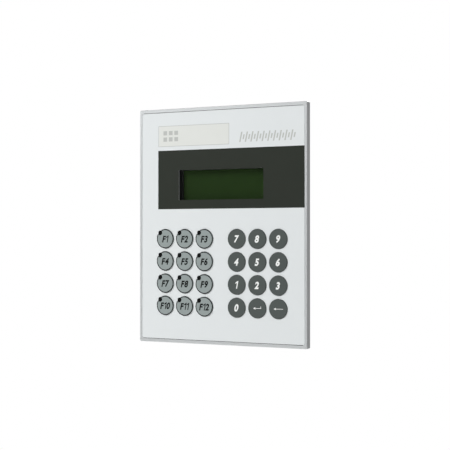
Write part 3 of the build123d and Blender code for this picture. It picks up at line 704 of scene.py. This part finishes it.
def grow(name, tree, material, **values):
    """Runs a tree with these values and returns its result as a plain mesh, still lying flat."""
    host = bpy.data.objects.new(name + "_host", bpy.data.meshes.new(name + "_host"))
    bpy.context.scene.collection.objects.link(host)
    modifier = host.modifiers.new("tree", "NODES")
    modifier.node_group = tree
    asked = {key.replace("_", " "): value for key, value in values.items()}
    asked["Material"] = material
    for item in tree.interface.items_tree:
        if item.in_out == "INPUT" and item.name in asked:
            modifier[item.identifier] = asked[item.name]
    graph = bpy.context.evaluated_depsgraph_get()
    mesh = bpy.data.meshes.new_from_object(host.evaluated_get(graph))
    mesh.name = name
    bpy.data.objects.remove(host)
    return mesh


STAND_UP = Matrix.Rotation(pi / 2, 4, "X")
LIE_BACK = Matrix.Rotation(-pi / 2, 4, "X")


def placed(mesh, place, turn=STAND_UP):
    """Stands a flat mesh up, so that it faces the operator, and moves it to its place."""
    mesh.transform(Matrix.Translation(place) @ turn)
    mesh.update()
    return mesh


print("Geometry Nodes helpers ready")

# %% [markdown]
# ## Rings round the function keys
# Each function key has a black printed edge that stops at its light. The edge is a flat band
# swept along an arc: the arc leaves out the angle that the light's notch takes from the circle,
# which follows from the two radii and the distance between their centres.


# %% Ring tree
def make_ring_tree():
    """A flat band swept along an open arc."""
    tree, given = new_tree("key_ring", Radius=0.008, Start=0.0, Sweep=6.0, Width=0.0005, Thickness=0.00002)
    inputs = {
        "Resolution": 96,
        "Radius": given["Radius"],
        "Start Angle": given["Start"],
        "Sweep Angle": given["Sweep"],
    }
    arc = node(tree, "GeometryNodeCurveArc", inputs, mode="RADIUS")
    level = node(tree, "GeometryNodeSetCurveNormal", {"Curve": arc.outputs["Curve"]}, mode="Z_UP")
    section = node(
        tree,
        "GeometryNodeCurvePrimitiveQuadrilateral",
        {"Width": given["Width"], "Height": given["Thickness"]},
        mode="RECTANGLE",
    )
    inputs = {"Curve": level.outputs[0], "Profile Curve": section.outputs[0], "Fill Caps": True}
    return end_tree(tree, given, node(tree, "GeometryNodeCurveToMesh", inputs).outputs[0])


RING_TREE = make_ring_tree()
print("tree", RING_TREE.name)

# %% Rings
RING_WIDTH = 0.75 * MM
RING_OUTER = 8.2 * MM
RING_THICKNESS = 0.04 * MM
LIGHT_PLACE = Vector((-5.197, 5.197)) * MM
NOTCH_RADIUS = 2.25 * MM

ring_radius = RING_OUTER - RING_WIDTH / 2
reach = LIGHT_PLACE.length
notch_cosine = (ring_radius**2 + reach**2 - NOTCH_RADIUS**2) / (2 * ring_radius * reach)
notch_angle = atan2(sqrt(1 - notch_cosine**2), notch_cosine)
light_angle = atan2(LIGHT_PLACE.y, LIGHT_PLACE.x)


def ring_centre(key):
    """The middle of a key's round flange, on the key's face."""
    low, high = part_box(key)
    return Vector(((low.x + high.x) / 2, low.y, (low.z + high.z) / 2))


for key in FUNCTION_KEYS:
    ring = grow(
        key + "_ring",
        RING_TREE,
        INK_BLACK,
        Radius=ring_radius,
        Start=light_angle + notch_angle,
        Sweep=2 * pi - 2 * notch_angle,
        Width=RING_WIDTH,
        Thickness=RING_THICKNESS,
    )
    finish_piece(key + "_ring", placed(ring, ring_centre(key)), key, INK_BLACK)
print("rings", len(FUNCTION_KEYS), "open over", round(degrees(2 * notch_angle), 1), "degrees")

# %% [markdown]
# ## Figures on the keys
# The figures are bold, narrow and slanted. Blender's own font is none of these, so each letter is
# a text curve thickened with its offset, turned into a mesh, and set beside the last one. The
# whole figure is then sheared and squeezed in width.

# %% Figures
FIGURE_DEPTH = 0.012 * MM
FIGURE_SINK = 0.006 * MM
FIGURE_SLANT = 0.2
FIGURE_GAP = 0.45 * MM
FUNCTION_FIGURE = {"height": 6.0 * MM, "squeeze": 0.86, "weight": 0.3 * MM}
NUMBER_FIGURE = {"height": 6.4 * MM, "squeeze": 0.88, "weight": 0.34 * MM}
FONT_RISE = 0.72


def letter(text, height, weight):
    """One upright letter or figure as a thin closed mesh, its lower left corner at the origin."""
    curve = bpy.data.curves.new("letter", "FONT")
    curve.body = text
    curve.size = (height - 2 * weight) / FONT_RISE
    curve.offset = weight
    curve.extrude = FIGURE_DEPTH
    curve.resolution_u = 6
    host = bpy.data.objects.new("letter", curve)
    bpy.context.scene.collection.objects.link(host)
    graph = bpy.context.evaluated_depsgraph_get()
    mesh = bpy.data.meshes.new_from_object(host.evaluated_get(graph))
    bpy.data.objects.remove(host)
    left = min(v.co.x for v in mesh.vertices)
    low = min(v.co.y for v in mesh.vertices)
    mesh.transform(Matrix.Translation((-left, -low, 0)))
    return mesh


def figure_one(height, weight):
    """A figure one with a clear flag, which Blender's own font draws too small."""
    thick = 3.2 * weight
    flag = 0.26 * height
    outline = [
        (flag, 0),
        (flag + thick, 0),
        (flag + thick, height),
        (flag + 0.2 * thick, height),
        (0, height - 0.8 * flag),
        (0, height - 0.8 * flag - thick),
        (flag, height - 0.35 * flag - thick),
    ]
    shape = bmesh.new()
    face = shape.faces.new([shape.verts.new((x, y, -FIGURE_DEPTH)) for x, y in outline])
    grown = bmesh.ops.extrude_face_region(shape, geom=[face], use_keep_orig=True)
    tops = [part for part in grown["geom"] if isinstance(part, bmesh.types.BMVert)]
    bmesh.ops.translate(shape, verts=tops, vec=(0, 0, 2 * FIGURE_DEPTH))
    bmesh.ops.triangulate(shape, faces=shape.faces)
    bmesh.ops.recalc_face_normals(shape, faces=shape.faces)
    mesh = bpy.data.meshes.new("letter")
    shape.to_mesh(mesh)
    shape.free()
    return mesh


def figure_mesh(name, text, height, squeeze, weight):
    """Letters side by side, slanted and squeezed, centred on the origin and lying flat."""
    whole = bmesh.new()
    along = 0.0
    for character in text:
        mesh = figure_one(height, weight) if character == "1" else letter(character, height, weight)
        width = max(v.co.x for v in mesh.vertices)
        mesh.transform(Matrix.Translation((along, 0, 0)))
        whole.from_mesh(mesh)
        along += width + FIGURE_GAP
    centre = Matrix.Translation((-(along - FIGURE_GAP) / 2, -height / 2, 0))
    slant = Matrix.Identity(4)
    slant[0][1] = FIGURE_SLANT / squeeze
    change = Matrix.Diagonal((squeeze, 1, 1, 1)) @ slant @ centre
    bmesh.ops.transform(whole, matrix=change, verts=whole.verts)
    mesh = bpy.data.meshes.new(name)
    whole.to_mesh(mesh)
    whole.free()
    return mesh


def key_figure(key, text, ink, style, shift):
    """One figure on a key's face, riding on the key."""
    mesh = figure_mesh(key + "_figure", text, **style)
    place = ring_centre(key) + Vector((shift[0], -FIGURE_SINK, shift[1]))
    return finish_piece(key + "_figure", placed(mesh, place), key, ink)


for number, key in enumerate(FUNCTION_KEYS, 1):
    key_figure(key, f"F{number}", INK_BLACK, FUNCTION_FIGURE, (0.3 * MM, -0.2 * MM))
for key in NUMBER_KEYS[:10]:
    key_figure(key, key[-1], INK_WHITE, NUMBER_FIGURE, (0, 0))
print("figures", len(FUNCTION_KEYS) + 10)

# %% [markdown]
# ## Arrows on the last two keys
# The enter key shows an arrow to the left with a short upturned tail, and the key beside it a
# longer plain arrow. Both are outlines of a few points: a head, a thin shaft, and the tail.

# %% Arrows
HEAD_LENGTH = 1.9 * MM
HEAD_HALF = 0.95 * MM
SHAFT_HALF = 0.2 * MM


def arrow(left, right, tail):
    """The outline of an arrow that points left, with a tail that turns up at its right end."""
    head = [(left, 0), (left + HEAD_LENGTH, -HEAD_HALF), (left + HEAD_LENGTH, -SHAFT_HALF)]
    end = [(right, -SHAFT_HALF), (right, tail + SHAFT_HALF)]
    if tail:
        inner = right - 2 * SHAFT_HALF
        end += [(inner, tail + SHAFT_HALF), (inner, SHAFT_HALF)]
    return head + end + [(left + HEAD_LENGTH, SHAFT_HALF), (left + HEAD_LENGTH, HEAD_HALF)]


def key_arrow(key, left, right, tail=0.0):
    """An arrow printed on a key."""
    centre = ring_centre(key)
    outline = [(centre.x + x, centre.z + z) for x, z in arrow(left, right, tail)]
    return film(key + "_arrow", [outline], centre.y, key, INK_WHITE)


key_arrow("key_enter", -3.5 * MM, 3.6 * MM, tail=1.5 * MM)
key_arrow("key_backspace", -3.9 * MM, 4.4 * MM)
print("arrows on key_enter and key_backspace")

# %% [markdown]
# ## The dots of the display
# The display shows four lines of twenty characters, and each character is a cell of five by eight
# dots. Unlit, the dots are only a shade darker than the glass. One dot is repeated over a cell,
# and the cell over the lines.


# %% Dot tree
def make_dot_tree():
    """A dot repeated over a character cell, and the cell over the whole display."""
    tree, given = new_tree(
        "display_dots",
        Dot=0.00055,
        Dot_Pitch=0.0006,
        Cell_Width=0.00355,
        Cell_Height=0.00535,
        Thickness=0.00001,
    )

    def spread(shape, across, along, step_across, step_along):
        """Puts a shape on a flat grid of points."""
        inputs = {
            "Size X": maths(tree, "MULTIPLY", step_across, across - 1.0),
            "Size Y": maths(tree, "MULTIPLY", step_along, along - 1.0),
            "Vertices X": across,
            "Vertices Y": along,
        }
        grid = node(tree, "GeometryNodeMeshGrid", inputs).outputs["Mesh"]
        pieces = node(tree, "GeometryNodeInstanceOnPoints", {"Points": grid, "Instance": shape})
        return node(tree, "GeometryNodeRealizeInstances", {0: pieces.outputs[0]}).outputs[0]

    size = node(tree, "ShaderNodeCombineXYZ", {0: given["Dot"], 1: given["Dot"], 2: given["Thickness"]})
    dot = node(tree, "GeometryNodeMeshCube", {"Size": size.outputs[0]}).outputs["Mesh"]
    cell = spread(dot, 5, 8, given["Dot Pitch"], given["Dot Pitch"])
    lines = spread(cell, 20, 4, given["Cell Width"], given["Cell Height"])
    return end_tree(tree, given, lines)


DOT_TREE = make_dot_tree()
DISPLAY_DOTS = grained("display_dots", screen(33, 52, 22), 0.3, contrast=0.05, Specular_IOR_Level=0.06)
glass_middle = middle("lcd_glass")
dots = grow("display_dots", DOT_TREE, DISPLAY_DOTS, Dot=0.55 * MM, Dot_Pitch=0.6 * MM)
placed(dots, Vector((glass_middle.x, front_of("lcd_glass"), glass_middle.z)))
finish_piece("display_dots", dots, "panel", DISPLAY_DOTS)
print("dots", len(dots.polygons) // 6)

# %% [markdown]
# ## Snap domes
# Under each key lies a thin sprung dome that flattens when the key is pushed. The frame has the
# twenty-four domes as one rigid solid, so each gets a dome of its own here, and the solid is
# hidden. A dome is part of a sphere: from its radius and its height comes the sphere's radius,
# and from that the height of each ring.

# %% Snap domes
DOME_WALL = 0.15 * MM
DOME_RINGS = 8
DOME_STEPS = 24
dome_low, dome_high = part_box("snap_domes")
dome_height = dome_high.y - dome_low.y
dome_radius = dome_high.x - max(middle(key).x for key in FUNCTION_KEYS + NUMBER_KEYS)
sphere_radius = (dome_radius**2 + dome_height**2) / (2 * dome_height)


def circle(x, z, radius, count=20):
    """A circle as a loop of points."""
    angles = [2 * pi * step / count for step in range(count)]
    return [(x + radius * cos(a), z + radius * sin(a)) for a in angles]


def cap_rings(ball, foot):
    """Radius and depth of the rings of a cap cut from a ball, from its crown to its foot."""
    edge = sqrt(ball**2 - (sphere_radius - foot) ** 2)
    for step in range(1, DOME_RINGS + 1):
        radius = edge * step / DOME_RINGS
        yield radius, sphere_radius - sqrt(ball**2 - radius**2)


def join_rings(body, first, second):
    """Faces between two rings of as many points."""
    for step in range(len(first)):
        after = (step + 1) % len(first)
        body.faces.new((first[step], first[after], second[after], second[step]))


def dome_mesh(name, centre):
    """A thin closed dome: an outer cap, an inner cap and the narrow rim between them."""
    body = bmesh.new()
    caps = []
    for ball in (sphere_radius, sphere_radius - DOME_WALL):
        crown = body.verts.new((centre.x, dome_low.y + sphere_radius - ball, centre.z))
        rings = []
        for radius, depth in cap_rings(ball, dome_height):
            ring = circle(centre.x, centre.z, radius, DOME_STEPS)
            rings.append([body.verts.new((x, dome_low.y + depth, z)) for x, z in ring])
        for a, b in zip(rings[0], rings[0][1:] + rings[0][:1]):
            body.faces.new((crown, a, b))
        for inner, outer in zip(rings, rings[1:]):
            join_rings(body, inner, outer)
        caps.append(rings[-1])
    join_rings(body, caps[0], caps[1])
    bmesh.ops.recalc_face_normals(body, faces=body.faces)
    mesh = bpy.data.meshes.new(name)
    body.to_mesh(mesh)
    body.free()
    return mesh


for key in FUNCTION_KEYS + NUMBER_KEYS:
    centre = middle(key)
    mesh = dome_mesh(key + "_dome", centre)
    mesh.materials.append(SPRING)
    dome = bpy.data.objects.new(mesh.name, mesh)
    bpy.context.scene.collection.objects.link(dome)
    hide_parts("snap_domes")
    foot = (centre.x, dome_high.y, centre.z)
    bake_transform(dome)
print("domes", len(FUNCTION_KEYS + NUMBER_KEYS), "of radius", round(dome_radius / MM, 2), "mm")

# %% [markdown]
# ## Thumb screws of the clamps
# Each clamp is tightened by a screw with a knurled, slotted head. A thread is a diamond swept
# along a spiral: half of it lies in the core, and the other half stands out as a V. The solid in
# the frame is a plain rod of the thread's outer size, so it is replaced by a thinner core, the
# thread, and a head whose outline is a circle of teeth.


# %% Screw shank tree
def make_shank_tree():
    """A neck, a core and a thread round it, standing on the origin and growing along Z."""
    tree, given = new_tree(
        "threaded_shank",
        Neck_Radius=0.0014,
        Neck=0.0027,
        Root_Radius=0.00165,
        Depth=0.00035,
        Pitch=0.0007,
        Length=0.0136,
    )

    def rod(radius, length, foot):
        """A round bar from foot upwards."""
        inputs = {"Vertices": 32, "Radius": radius, "Depth": length}
        bar = node(tree, "GeometryNodeMeshCylinder", inputs).outputs["Mesh"]
        height = maths(tree, "ADD", foot, maths(tree, "DIVIDE", length, 2.0))
        place = node(tree, "ShaderNodeCombineXYZ", {2: height}).outputs[0]
        return node(tree, "GeometryNodeTransform", {"Geometry": bar, "Translation": place}).outputs[0]

    inputs = {
        "Resolution": 24,
        "Rotations": maths(tree, "DIVIDE", given["Length"], given["Pitch"]),
        "Start Radius": given["Root Radius"],
        "End Radius": given["Root Radius"],
        "Height": given["Length"],
    }
    spiral = node(tree, "GeometryNodeCurveSpiral", inputs)
    level = node(tree, "GeometryNodeSetCurveNormal", {"Curve": spiral.outputs[0]}, mode="Z_UP").outputs[0]
    diamond = node(tree, "GeometryNodeCurvePrimitiveCircle", {"Resolution": 4}, mode="RADIUS")
    set_input(tree, diamond.inputs["Radius"], given["Depth"])
    inputs = {"Curve": level, "Profile Curve": diamond.outputs["Curve"], "Fill Caps": True}
    thread = node(tree, "GeometryNodeCurveToMesh", inputs).outputs[0]
    lift = node(tree, "ShaderNodeCombineXYZ", {2: given["Neck"]}).outputs[0]
    thread = node(tree, "GeometryNodeTransform", {"Geometry": thread, "Translation": lift}).outputs[0]
    whole = node(tree, "GeometryNodeJoinGeometry")
    neck = rod(given["Neck Radius"], given["Neck"], 0.0)
    core = rod(given["Root Radius"], given["Length"], given["Neck"])
    for part in (neck, core, thread):
        tree.links.new(part, whole.inputs[0])
    return end_tree(tree, given, whole.outputs[0])


SHANK_TREE = make_shank_tree()
print("tree", SHANK_TREE.name)

# %% Thumb screws
HEAD_HEIGHT = 4.0 * MM
HEAD_SLOT = 1.6 * MM
SLOT_HALF = 0.5 * MM
KNURL_TEETH = 36
KNURL_DEPTH = 0.22 * MM
NECK_LENGTH = 2.7 * MM


def knurled_outline(centre, radius):
    """A circle of small teeth."""
    points = []
    for step in range(2 * KNURL_TEETH):
        angle = 2 * pi * (step + 0.5) / (2 * KNURL_TEETH)
        out = radius - KNURL_DEPTH * (step % 2)
        points.append((centre.x + out * cos(angle), centre.z + out * sin(angle)))
    return points


def side_of_slot(outline, centre, side):
    """The part of an outline above or below the slot, cut along the slot's edge."""
    kept = [(x, z) for x, z in outline if side * (z - centre.z) > SLOT_HALF]
    edge = centre.z + side * SLOT_HALF
    return [(kept[0][0], edge)] + kept + [(kept[-1][0], edge)]


for number in CLAMPS:
    body = f"clamp_screw_{number}"
    low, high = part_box(body)
    centre = (low + high) / 2
    head_front = high.y - HEAD_HEIGHT
    length = head_front - low.y - NECK_LENGTH
    mesh = grow(body + "_shank", SHANK_TREE, ZINC, Neck=NECK_LENGTH, Length=length)
    placed(mesh, Vector((centre.x, low.y, centre.z)), LIE_BACK)
    shank = finish_piece(body + "_shank", mesh, body, ZINC)
    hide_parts(body)
    outline = knurled_outline(centre, (high.x - low.x) / 2)
    slot_floor = high.y - HEAD_SLOT
    depth = slot_floor - head_front
    film(body + "_head", [outline], slot_floor, body, ZINC, thickness=depth)
    halves = [side_of_slot(outline, centre, side) for side in (1, -1)]
    film(body + "_slot_sides", halves, high.y, body, ZINC, thickness=HEAD_SLOT)
print("thumb screws", len(CLAMPS), "each with", KNURL_TEETH, "teeth")

# %% [markdown]
# ## Contacts of the port
# The port has a metal shell with a black insulator inside, and nine holes in two rows, each with
# a brass sleeve at its bottom. The rows are short lines of points, and one sleeve is put on each.


# %% Contact tree
def make_contact_tree():
    """Two rows of short sleeves, five and four, lying in the XY plane."""
    tree, given = new_tree("port_contacts", Pitch=0.00277, Row_Gap=0.00284, Radius=0.0005, Height=0.0001)
    inputs = {"Vertices": 16, "Radius": given["Radius"], "Depth": given["Height"]}
    sleeve = node(tree, "GeometryNodeMeshCylinder", inputs).outputs["Mesh"]
    both = node(tree, "GeometryNodeJoinGeometry")
    for count, side in ((5, 0.5), (4, -0.5)):
        start = node(
            tree,
            "ShaderNodeCombineXYZ",
            {
                0: maths(tree, "MULTIPLY", given["Pitch"], -(count - 1) / 2),
                1: maths(tree, "MULTIPLY", given["Row Gap"], side),
            },
        ).outputs[0]
        step = node(tree, "ShaderNodeCombineXYZ", {0: given["Pitch"]}).outputs[0]
        inputs = {"Count": count, "Start Location": start, "Offset": step}
        row = node(tree, "GeometryNodeMeshLine", inputs).outputs["Mesh"]
        sleeves = node(tree, "GeometryNodeInstanceOnPoints", {"Points": row, "Instance": sleeve}).outputs[0]
        tree.links.new(sleeves, both.inputs[0])
    return end_tree(tree, given, both.outputs[0])


CONTACT_TREE = make_contact_tree()
print("tree", CONTACT_TREE.name)

# %% Port insulator and contacts
CONTACT_PITCH = 2.77 * MM
CONTACT_ROWS = 2.84 * MM
HOLE_RADIUS = 0.6 * MM
INSULATOR = 0.4 * MM
INSULATOR_HALF = (7.2 * MM, 3.2 * MM)
INSULATOR_DRAFT = 1.4 * MM
CONTACT_LIFT = 0.05 * MM
port_middle = middle("serial_port")
port_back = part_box("serial_port")[1].y


def port_outline(half_width, half_height, draft):
    """The D of the port, with its wide side up."""
    x, z = port_middle.x, port_middle.z
    narrow = half_width - draft
    return [
        (x - half_width, z + half_height),
        (x - narrow, z - half_height),
        (x + narrow, z - half_height),
        (x + half_width, z + half_height),
    ]


holes = []
for count, side in ((5, 0.5), (4, -0.5)):
    for place in range(count):
        x = port_middle.x + (place - (count - 1) / 2) * CONTACT_PITCH
        holes.append(circle(x, port_middle.z + side * CONTACT_ROWS, HOLE_RADIUS))
insulator_edge = port_outline(*INSULATOR_HALF, INSULATOR_DRAFT)
film(
    "port_insulator",
    [insulator_edge] + holes,
    port_back + INSULATOR,
    "panel",
    NYLON,
    thickness=INSULATOR,
)
contacts = grow("port_contacts", CONTACT_TREE, BRASS, Pitch=CONTACT_PITCH, Row_Gap=CONTACT_ROWS)
placed(contacts, Vector((port_middle.x, port_back + CONTACT_LIFT, port_middle.z)))
finish_piece("port_contacts", contacts, "panel", BRASS)
print("contacts", len(holes))
